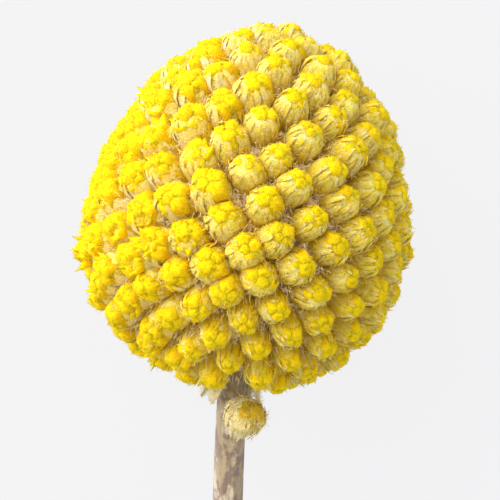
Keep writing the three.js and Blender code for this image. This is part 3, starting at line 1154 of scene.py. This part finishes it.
def add_outer_bracts(buttons, seed):
    """The long bracts that wrap a button's sides."""
    rng = np.random.default_rng(seed)
    colours = buttons.colours
    owner, azimuth = buttons.ring(OUTER_BRACTS, rng, 0.1)
    count, ripe = len(owner), buttons.ripe[owner]
    profile = ((0.85, -5.2), (1.36, -3.0), (1.43, -1.6), (1.31, -0.75), (1.12, -0.38))
    golden = 0.48 + 0.6 * buttons.favour(owner, azimuth) + rng.uniform(-0.25, 0.25, count)
    return stand_round(
        "outer_bracts",
        buttons,
        owner,
        azimuth,
        several(make_blade, 12, seed, profile=profile, width=0.44, ragged=0.3, keel=0.1),
        # Olive is painted as shade at the outer bracts' bases and edges.
        bract_finish(f"{buttons.prefix} outer bracts", colours, colours.olive_shade, colours.gold, 0.5),
        seed,
        {"Ripple": 0.08 * MM},
        height=rng.uniform(-0.3, 0.1, count) - 0.3 * ripe,
        tilt=rng.uniform(-0.01, 0.015, count),
        growth=rng.uniform(0.98, 1.02, count),
        tone=rng.uniform(0, 1, count),
        golden=np.clip(golden + 0.6 * ripe, 0, 1),
    )


def add_inner_bracts(buttons, seed):
    """The short bracts that close over the top of a button where its florets haven't swollen."""
    rng = np.random.default_rng(seed)
    colours = buttons.colours
    owner, azimuth = buttons.ring(INNER_BRACTS, rng, 0.25)
    favoured = buttons.favour(owner, azimuth) + rng.uniform(-0.6, 0.6, len(owner))
    keep = favoured < -0.9 * buttons.ripe[owner]
    owner, azimuth = owner[keep], azimuth[keep]
    count = len(owner)
    profile = ((1.26, -1.5), (1.34, -1.0), (1.23, -0.5), (0.99, -0.15), (0.76, 0.05))
    return stand_round(
        "inner_bracts",
        buttons,
        owner,
        azimuth,
        several(make_blade, 12, seed, profile=profile, width=0.42, ragged=0.22, keel=0.12),
        bract_finish(f"{buttons.prefix} inner bracts", colours, colours.khaki, colours.yellow, 0.5),
        seed,
        {"Ripple": 0.08 * MM},
        height=rng.uniform(-0.25, 0.06, count),
        tilt=rng.uniform(-0.06, 0.05, count),
        growth=rng.uniform(0.93, 1.02, count),
        tone=rng.uniform(0, 1, count),
    )


def add_florets(buttons, seed):
    """A floret in the middle of each button and a ring round it, with small lobes at their tips."""
    rng = np.random.default_rng(seed)
    owner, azimuth = buttons.ring(RING_FLORETS, rng, 0.2)
    ringed, middle = len(owner), len(buttons)
    owner = np.concatenate((owner, buttons.owners(1)))
    azimuth = np.concatenate((azimuth, rng.uniform(0, FULL_TURN, middle)))
    reach = np.concatenate((rng.uniform(0.6, 0.76, ringed), rng.uniform(0, 0.25, middle)))
    outer = np.arange(len(owner)) < ringed
    ripe = buttons.ripe[owner]
    swelling = np.where(outer, buttons.favour(owner, azimuth), 0.5)
    vigour = 0.51 + 0.45 * swelling * (1 - 0.6 * ripe) + 0.34 * ripe
    vigour = vigour + rng.uniform(-0.35, 0.35, len(owner))
    there = vigour > 0.2
    owner, azimuth, reach, ripe, outer = (v[there] for v in (owner, azimuth, reach, ripe, outer))
    vigour = np.clip(vigour[there], 0, 1)
    count = len(owner)
    growth = 0.85 + 0.6 * vigour
    height = np.where(outer, -0.34, -0.16) + 0.34 * vigour + ripe * rng.uniform(-0.05, 0.12, count)
    tilt = np.where(outer, rng.uniform(0.12, 0.3, count), rng.uniform(0, 0.12, count))
    # Painted light: florets are painted paler on the lit late side, by the painted light share less their
    # ripeness.
    pale = np.clip(0.8 - 1.3 * vigour + 0.4 * (buttons.fair[owner] - ripe), 0, 1)
    is_open = rng.uniform(0, 1, count) < 0.1 * ripe
    # Olive is painted as shade at the florets' bases and in their grooves.
    material = floret_finish(f"{buttons.prefix} florets", buttons.colours, buttons.colours.olive_shade)
    pieces = []
    for kind, make, those in (("closed", make_bud, ~is_open), ("open", make_star, is_open)):
        if not those.any():
            continue
        piece = stand_round(
            f"{kind}_florets",
            buttons,
            owner[those],
            azimuth[those],
            several(make, 8, seed),
            material,
            seed,
            {"Ripple": 0.14 * MM, "Ripple_scale": 1300.0},
            reach=reach[those],
            height=height[those],
            tilt=tilt[those],
            growth=growth[those],
            tone=rng.uniform(0, 1, those.sum()),
            pale=pale[those],
        )
        pieces.append(piece)
    shapes = several(make_lobe, 8, seed, width=0.035, height=0.24)
    name = f"{buttons.prefix}_floret_lobes"
    lobes = grow_on(name, pieces[0], shapes, material, seed, 12e6, 1.1, 0.45, only_tips=1.0)
    return [*pieces, lobes]


def add_chaff(buttons, seed):
    """Fine pale bristles that stand between the florets."""
    rng = np.random.default_rng(seed)
    colours = buttons.colours
    owner, azimuth = buttons.ring(CHAFF, rng, 0.5)
    count, ripe = len(owner), buttons.ripe[owner]
    profile = ((0, -1.2), (0.02, -0.7), (0, -0.2), (0, 0.15))
    return stand_round(
        "chaff",
        buttons,
        owner,
        azimuth,
        several(make_blade, 8, seed, profile=profile, width=0.16, ragged=0.2),
        bract_finish(f"{buttons.prefix} chaff", colours, colours.papery, colours.gold, 0.4),
        seed,
        {"Ripple": 0.08 * MM},
        reach=rng.uniform(0.3, 1.1, count),
        height=rng.uniform(-0.4, -0.1, count),
        tilt=rng.uniform(-0.1, 0.2, count),
        growth=rng.uniform(0.7, 1.0, count) * (1 + 0.5 * ripe),
        tone=rng.uniform(0, 1, count),
        golden=0.4 * ripe,
    )


def add_gap_scales(buttons, seed):
    """Pale scales that lean out of the shoulders of the buttons into the gaps between them."""
    rng = np.random.default_rng(seed)
    colours = buttons.colours
    owner, azimuth = buttons.ring(GAP_SCALES, rng, 0.4)
    count = len(owner)
    profile = ((0, -1.2), (0.03, -0.6), (0.08, -0.1), (0.16, 0.3))
    return stand_round(
        "gap_scales",
        buttons,
        owner,
        azimuth,
        several(make_blade, 8, seed, profile=profile, width=0.34, ragged=0.25),
        bract_finish(f"{buttons.prefix} gap scales", colours, colours.down, colours.down, 0.7),
        seed,
        {"Ripple": 0.08 * MM},
        reach=rng.uniform(1.3, 1.42, count),
        height=rng.uniform(-2.4, -1.6, count) * buttons.depth[owner],
        tilt=rng.uniform(0.15, 0.6, count),
        growth=rng.uniform(0.8, 1.15, count),
        tone=rng.uniform(0, 1, count),
    )


def add_tufts(buttons, seed):
    """Loose narrow florets that stand out of the ripe buttons."""
    rng = np.random.default_rng(seed)
    owner = buttons.owners(TUFT)
    owner = owner[rng.uniform(0.15, 1, len(owner)) < buttons.ripe[owner]]
    count = len(owner)
    reach = np.sqrt(rng.uniform(0, 1, count)) * 1.15
    profile = ((0, -1.4), (0.04, -0.8), (0.02, -0.25), (0, 0.14))
    return stand_round(
        "tufts",
        buttons,
        owner,
        rng.uniform(0, FULL_TURN, count),
        several(make_blade, 8, seed, profile=profile, width=0.2, ragged=0.25),
        floret_finish(f"{buttons.prefix} tufts", buttons.colours, buttons.colours.gold),
        seed,
        {"Ripple": 0.1 * MM},
        reach=reach,
        height=rng.uniform(-0.1, 0.12, count) - 0.4 * reach**2,
        tilt=rng.uniform(-0.15, 0.15, count) + 0.12 * reach,
        growth=rng.uniform(0.9, 1.1, count) + 0.3 * draw(owner, 5) ** 3,
        tone=rng.uniform(0, 1, count),
        pale=rng.uniform(0, 0.5, count) ** 2,
    )


def add_fuzz(prefix, surface, first, second, seed, height, density, only_tips=0.0):
    """Short down in two colours on a surface, or on its tips alone."""
    shapes = several(make_lobe, 8, seed, width=0.03, height=height)
    material = down_finish(f"{prefix} fuzz", first, second)
    return grow_on(f"{prefix}_fuzz", surface, shapes, material, seed, density, 1.35, 0.4, only_tips)


def add_button_wool(buttons, seed, per_button):
    """Fine hairs at the shoulders of the buttons, which fill the gaps between them."""
    rng = np.random.default_rng(seed)
    colours = buttons.colours
    owner = buttons.owners(per_button)
    count = len(owner)
    return stand_round(
        "wool",
        buttons,
        owner,
        rng.uniform(0, FULL_TURN, count),
        several(make_hair, 8, seed, long=0.8, thickness=0.065, bend=0.6),
        # Fringe is painted as light on the wool's lit side.
        hair_finish(f"{buttons.prefix} wool", colours.papery, colours.papery, colours.fringe),
        seed,
        reach=rng.uniform(1.25, 1.42, count),
        height=rng.uniform(-2.8, -1.0, count) * buttons.depth[owner],
        tilt=rng.uniform(0.2, 1.2, count),
        growth=rng.uniform(0.6, 1.2, count),
    )


def gap_places(head, buttons, rng):
    """Points below the buttons' tips that no button covers, the way out from there, and how much
    painted light the nearest button has."""
    polar = head.even_polars(GAP_TRIES)
    azimuth = rng.uniform(0, FULL_TURN, GAP_TRIES)
    across, up = head.point(polar)
    normal_across, normal_up = head.normal(polar)
    around = np.stack((np.cos(azimuth), np.sin(azimuth)), axis=1)
    outward = np.column_stack((around * normal_across[:, None], normal_up)) @ np.array(head.turn).T
    points = head.to_world(np.column_stack((around * across[:, None], up))) - outward * GAP_DEPTH
    nearest, lift, fair = np.full(GAP_TRIES, np.inf), np.zeros(GAP_TRIES), np.zeros(GAP_TRIES)
    for tip, frame_of_button, fairness in zip(buttons.tips, buttons.frames, buttons.fair):
        away = points - tip
        height = away @ frame_of_button[:, 2]
        beside = np.sqrt(np.maximum((away**2).sum(axis=1) - height**2, 0))
        closer = (beside < nearest) & (np.abs(height) < GAP_REACH)
        nearest[closer] = beside[closer]
        lift[closer] = -GAP_DEPTH - height[closer]
        fair[closer] = fairness
    points = points + outward * lift[:, None]
    free = (nearest > GAP_FROM) & (nearest < GAP_TO)
    return points[free], outward[free], fair[free]


def add_gap_wool(head, buttons, seed):
    """Tufts of pinkish wool that rise out of the gaps between the buttons."""
    rng = np.random.default_rng(seed)
    colours = buttons.colours
    points, outward, fair = gap_places(head, buttons, rng)
    frames = frames_of(unit(outward + rng.uniform(-0.5, 0.5, outward.shape)), np.array(head.axis))
    sizes = np.repeat(rng.uniform(0.7, 1.2, (len(points), 1)), 3, axis=1)
    shapes = several(make_hair, 8, seed, long=0.55, thickness=0.08, bend=0.8)
    # Fringe is painted as light on the gap wool's lit side.
    material = hair_finish(f"{buttons.prefix} gap wool", colours.down, colours.down, colours.fringe)
    name = f"{buttons.prefix}_gap_wool"
    return stand_on_points(name, points, frames, sizes, shapes, material, seed, {}, fair=fair)


# ---- Pieces of the receptacle and the stem ----


def receptacle(head):
    """Points and faces of the woolly receptacle, which is faintly lumpy, and how much painted light lies
    on them.
    """
    rings, sides = 70, 96
    foot = FOOT_RADIUS * 0.9  # a little inside the stem's
    last = math.pi - math.asin(foot / (head.sizes.head_radius - WOOLLY_INSET))
    polar = np.linspace(0, last, rings + 1)[1:]
    azimuth = -angles_round(sides)
    across, up = head.point(polar, WOOLLY_INSET)
    lumps = 1 + 0.02 * np.sin(azimuth * 21)[None, :] * np.sin(polar * 24)[:, None]
    across, up = across[:, None] * lumps, up[:, None] * lumps
    skin = np.stack((across * np.cos(azimuth), across * np.sin(azimuth), up), axis=2).reshape(-1, 3)
    ends = ((0, 0, head.sizes.head_crown - WOOLLY_INSET), (0, 0, head.point(last, WOOLLY_INSET)[1]))
    points = head.to_world(np.vstack((skin, ends)))
    points[:, 2] = np.maximum(points[:, 2], FLOOR_CLEARANCE)
    return points, closed_faces(rings, sides), np.append(how_fair(unit(skin)), (0, 0))


def stem_skin(stem):
    """Points and faces of the stem's skin, down to the dents in its slanted cut end, and how
    much of each point is scar and pith."""
    rings, sides = 520, 36
    distance = stem.length * (1 - (1 - np.linspace(0, 1, rings)) ** 1.25)
    far, round_it = np.meshgrid(distance, angles_round(sides), indexing="ij")
    reach = stem.radius(far, round_it)
    centre, along, side, up = stem.frames(distance)
    cos_r, sin_r = np.cos(round_it)[..., None], np.sin(round_it)[..., None]
    outward = side[:, None, :] * cos_r + up[:, None, :] * sin_r
    skin = centre[:, None, :] + outward * reach[..., None]
    slanted = np.clip(1 - distance / CUT_REACH, 0, 1)
    slant = reach * np.cos(round_it) * math.tan(CUT_SLANT) * slanted[:, None]
    skin = skin + along[:, None, :] * slant[..., None]
    middle = skin[0].mean(axis=0)
    dents = [middle + (skin[0] - middle) * share + along[0] * depth * MM for share, depth in CUT_DENTS]
    points = np.vstack((skin.reshape(-1, 3), *dents, middle + along[0] * PITH_DEPTH, centre[-1]))
    points[:, 2] = np.maximum(points[:, 2], FLOOR_CLEARANCE)
    dented = len(dents) * sides
    scar = np.concatenate((stem.scar(far, round_it).ravel(), np.zeros(dented + 2)))
    pith = np.concatenate((np.zeros(rings * sides), np.ones(dented), (1, 0)))
    faces = grid_faces(rings, sides, closed=True)
    inner = 0
    for here in range(rings * sides, rings * sides + dented, sides):
        faces += [(here + j, here + k, inner + k, inner + j) for j, k in neighbours(sides)]
        inner = here
    faces += cap_faces(rings * sides + dented, inner, (rings - 1) * sides, sides)
    return points, faces, {"scar": scar, "pith": pith}


def stem_bract(rng):
    """A grid of points on one papery bract, as it hangs from the top of an upright stem."""
    share = np.linspace(0, 1, BRACT_ROWS)[:, None]
    side = np.linspace(-1, 1, BRACT_COLUMNS)[None, :]
    across = side * np.sin(math.pi * (0.2 + 0.72 * share)) * BRACT_WIDTH / 2
    across = across + rng.uniform(-1, 1, across.shape) * np.abs(side) ** 4 * 0.12 * MM
    down = share * BRACT_LENGTH + 0 * across
    down[-1] += rng.uniform(-0.35, 0.1, BRACT_COLUMNS) * MM
    away = BRACT_START + (BRACT_END - BRACT_START) * share - BRACT_CUP * across**2
    away = away + rng.uniform(-0.05, 0.05, away.shape) * MM
    return np.stack((-across, -BRACT_BELOW - down, away), axis=2)


def stem_bracts(head, rng):
    """Points and faces of the bracts round the top of the stem, and what their finish reads."""
    x_axis = Vector((1, 0, 0))
    basis = Matrix((x_axis, head.axis, x_axis.cross(head.axis).normalized())).transposed()
    points, faces = [], []
    for number in range(1, STEM_BRACTS + 1):
        azimuth = LOW_AZIMUTH + number / (STEM_BRACTS + 1) * FULL_TURN
        turn = Matrix.Rotation(azimuth, 3, head.axis) @ basis
        local, blade_faces = shell(stem_bract(rng), BRACT_THICKNESS)
        faces += [tuple(len(points) + i for i in face) for face in blade_faces]
        points += list(local @ np.array(turn).T + np.array(head.stem_top()))
    along, across = np.linspace(0, 1, BRACT_ROWS), np.linspace(-1, 1, BRACT_COLUMNS)
    sheets = 2 * STEM_BRACTS  # an outer and an inner one for each
    values = {
        "along": np.tile(np.repeat(along, BRACT_COLUMNS), sheets),
        "across": np.tile(across, BRACT_ROWS * sheets),
        "tone": np.repeat(rng.uniform(0, 1, STEM_BRACTS), 2 * BRACT_ROWS * BRACT_COLUMNS),
    }
    return points, faces, values


# ---- Operators ----


def buttons_of(scene):
    """The head's buttons, as the scene's sizes and colours have them."""
    return head_buttons(Head(scene.flower_sizes), scene.flower_colours)


def plain_piece(name, points, faces, material, **values):
    """An object in the scene that no tree has to run on."""
    piece = mesh_object(name, points, faces, **values)
    piece.data.materials.append(material)
    bpy.context.scene.collection.objects.link(piece)
    return piece


def hand_over(pieces, node):
    """Attaches the pieces to the body that they move with, and hides the part of the frame that they
    dress.
    """
    for piece in pieces:
        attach(piece, BODY)
        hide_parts(node)
    return {"FINISHED"}


class FLOWER_OT_receptacle(bpy.types.Operator):
    """Make the woolly receptacle, deep between the buttons"""

    bl_idname = "flower.receptacle"
    bl_label = "Receptacle"

    def execute(self, context):
        points, faces, fair = receptacle(Head(context.scene.flower_sizes))
        material = receptacle_finish(context.scene.flower_colours)
        piece = plain_piece("receptacle", points, faces, material, fair=fair)
        return hand_over([piece], "flower_head")


class FLOWER_OT_bodies(bpy.types.Operator):
    """Make the solid middles of the head's buttons, with down on their tops"""

    bl_idname = "flower.bodies"
    bl_label = "Button bodies"

    def execute(self, context):
        colours = context.scene.flower_colours
        bodies = add_bodies(buttons_of(context.scene), 11, 0.2)
        fuzz = add_fuzz("head", bodies, colours.papery, colours.fringe, 12, 0.24, 10.5e6, 1.0)
        return hand_over([bodies, fuzz], "flower_head")


class FLOWER_OT_bracts(bpy.types.Operator):
    """Wrap the head's buttons in papery bracts"""

    bl_idname = "flower.bracts"
    bl_label = "Papery bracts"

    def execute(self, context):
        buttons = buttons_of(context.scene)
        pieces = [add_outer_bracts(buttons, 21), add_inner_bracts(buttons, 22)]
        return hand_over(pieces, "flower_head")


class FLOWER_OT_florets(bpy.types.Operator):
    """Fill the head's buttons with closed and open florets, and the ripe ones with tufts"""

    bl_idname = "flower.florets"
    bl_label = "Florets"

    def execute(self, context):
        buttons = buttons_of(context.scene)
        pieces = [*add_florets(buttons, 31), add_tufts(buttons, 32)]
        return hand_over(pieces, "flower_head")


class FLOWER_OT_chaff(bpy.types.Operator):
    """Stand bristles between the florets, and scales in the gaps between the buttons"""

    bl_idname = "flower.chaff"
    bl_label = "Chaff"

    def execute(self, context):
        buttons = buttons_of(context.scene)
        pieces = [add_chaff(buttons, 41), add_gap_scales(buttons, 42)]
        return hand_over(pieces, "flower_head")


class FLOWER_OT_wool(bpy.types.Operator):
    """Grow fine hairs between the head's buttons"""

    bl_idname = "flower.wool"
    bl_label = "Wool on the head"

    def execute(self, context):
        head, buttons = Head(context.scene.flower_sizes), buttons_of(context.scene)
        pieces = [add_button_wool(buttons, 51, HAIRS), add_gap_wool(head, buttons, 52)]
        return hand_over(pieces, "flower_head")


class FLOWER_OT_stem(bpy.types.Operator):
    """Make the stem's ribbed skin, its scars and its cut end"""

    bl_idname = "flower.stem"
    bl_label = "Stem"

    def execute(self, context):
        points, faces, values = stem_skin(Stem(Head(context.scene.flower_sizes)))
        material = stem_finish(context.scene.flower_colours)
        piece = plain_piece("stem_skin", points, faces, material, **values)
        return hand_over([piece], "stem")


class FLOWER_OT_stem_bracts(bpy.types.Operator):
    """Hang papery bracts with down on them round the top of the stem"""

    bl_idname = "flower.stem_bracts"
    bl_label = "Stem bracts"

    def execute(self, context):
        colours = context.scene.flower_colours
        woolly, fringe = woolly_palette(colours, colours.cream), colours.fringe
        rng = np.random.default_rng(61)
        points, faces, values = stem_bracts(Head(context.scene.flower_sizes), rng)
        material = bract_finish("Stem bracts", woolly, colours.tan, colours.tan, 0.3)
        piece = plain_piece("stem_bracts", points, faces, material, **values)
        fuzz = add_fuzz("stem_bracts", piece, fringe, fringe, 62, 0.4, 60e6)
        return hand_over([piece, fuzz], "stem")


class FLOWER_OT_stem_wool(bpy.types.Operator):
    """Grow matted wool on the stem"""

    bl_idname = "flower.stem_wool"
    bl_label = "Wool on the stem"

    def execute(self, context):
        colours = context.scene.flower_colours
        surface = bpy.data.objects.new("Surface", bpy.data.objects["stem_skin"].data.copy())
        shapes = several(make_hair, 8, 71, long=0.55, thickness=0.04, bend=0.7)
        material = hair_finish("Stem wool", colours.tan, colours.wool, colours.wool)
        piece = grow_on("stem_wool", surface, shapes, material, 71, 5.5e6, 1.1, 0.4)
        bpy.data.meshes.remove(surface.data)
        return hand_over([piece], "stem")


class FLOWER_OT_low_button(bpy.types.Operator):
    """Make the single faded button on the stem below the head"""

    bl_idname = "flower.low_button"
    bl_label = "Low button"

    def execute(self, context):
        colours = context.scene.flower_colours
        faded = woolly_palette(colours, colours.faded)
        button = low_buttons(Head(context.scene.flower_sizes), faded)
        bodies, outer = add_bodies(button, 81, 0.8), add_outer_bracts(button, 82)
        pieces = [
            bodies,
            outer,
            add_fuzz("low", outer, colours.cream, colours.fringe, 87, 0.2, 20e6),
            add_inner_bracts(button, 83),
            add_chaff(button, 84),
            add_button_wool(button, 85, LOW_HAIRS),
            *add_florets(button, 86),
        ]
        return hand_over(pieces, "low_button")


def add_light(name, middle, place, diameter, power, tint):
    """A soft round light that faces the middle from a place given from there."""
    light = bpy.data.lights.new(name, "AREA")
    light.shape = "DISK"
    light.size = diameter
    light.energy = power
    light.color = tint
    lamp = bpy.data.objects.new(name, light)
    lamp.location = middle + Vector(place)
    lamp.rotation_mode = "QUATERNION"
    lamp.rotation_quaternion = (-Vector(place)).to_track_quat("-Z", "Y")
    bpy.context.scene.collection.objects.link(lamp)


class FLOWER_OT_stage(bpy.types.Operator):
    """Make the floor, the lights and the camera"""

    bl_idname = "flower.stage"
    bl_label = "Stage"

    def execute(self, context):
        scene, stage = context.scene, context.scene.flower_stage
        middle = Head(scene.flower_sizes).centre
        half = stage.floor_size / 2
        corners = ((-half, -half, 0), (half, -half, 0), (half, half, 0), (-half, half, 0))
        material = floor_finish(scene.flower_colours, stage.floor_glow)
        floor = plain_piece("floor", corners, ((0, 1, 2, 3),), material)

        add_light("Key", middle, (-0.44, 0.4, 0.36), 1.0, stage.key_power, (1.0, 0.99, 0.98))
        add_light("Side", middle, (-0.7, 0.25, 0.1), 1.0, stage.side_power, (1.0, 0.99, 0.98))
        add_light("Fill", middle, (0.5, -0.2, 0.4), 0.5, stage.fill_power, (0.97, 0.98, 1.0))

        scene.world = bpy.data.worlds.new("Studio")
        scene.world.use_nodes = True
        background = scene.world.node_tree.nodes["Background"]
        background.inputs["Color"].default_value = (0.985, 0.99, 1.0, 1.0)
        background.inputs["Strength"].default_value = stage.sky

        camera = bpy.data.objects.new("Camera", bpy.data.cameras.new("Camera"))
        camera.data.sensor_width = 36
        camera.data.lens = camera.data.sensor_width * stage.camera_height / stage.view_width
        camera.data.clip_start = 0.01
        camera.location = (stage.view_x, stage.view_y, middle.z + stage.camera_height)
        camera.rotation_euler = (0, 0, stage.camera_roll)
        scene.collection.objects.link(camera)
        scene.camera = camera
        scene.view_settings.view_transform = "Standard"
        return {"FINISHED"}


class FLOWER_PT_panel(bpy.types.Panel):
    bl_idname = "FLOWER_PT_panel"
    bl_label = "Billy button"
    bl_space_type = "VIEW_3D"
    bl_region_type = "UI"
    bl_category = "Flower"

    def draw(self, context):
        scene = context.scene
        for group in (scene.flower_sizes, scene.flower_colours, scene.flower_stage):
            box = self.layout.box()
            for name in group.__annotations__:
                box.prop(group, name)
        for operator in OPERATORS:
            self.layout.operator(operator.bl_idname)


OPERATORS = (
    FLOWER_OT_stage,
    FLOWER_OT_receptacle,
    FLOWER_OT_bodies,
    FLOWER_OT_bracts,
    FLOWER_OT_florets,
    FLOWER_OT_chaff,
    FLOWER_OT_wool,
    FLOWER_OT_stem,
    FLOWER_OT_stem_bracts,
    FLOWER_OT_stem_wool,
    FLOWER_OT_low_button,
)
CLASSES = (FlowerSizes, FlowerColours, FlowerStage, *OPERATORS, FLOWER_PT_panel)


def register():
    for cls in CLASSES:
        bpy.utils.register_class(cls)
    bpy.types.Scene.flower_sizes = PointerProperty(type=FlowerSizes)
    bpy.types.Scene.flower_colours = PointerProperty(type=FlowerColours)
    bpy.types.Scene.flower_stage = PointerProperty(type=FlowerStage)


def unregister():
    del bpy.types.Scene.flower_stage
    del bpy.types.Scene.flower_colours
    del bpy.types.Scene.flower_sizes
    for cls in reversed(CLASSES):
        bpy.utils.unregister_class(cls)


def main():
    register()
    for operator in OPERATORS:
        group, name = operator.bl_idname.split(".")
        getattr(getattr(bpy.ops, group), name)()


if __name__ == "__main__":
    main()
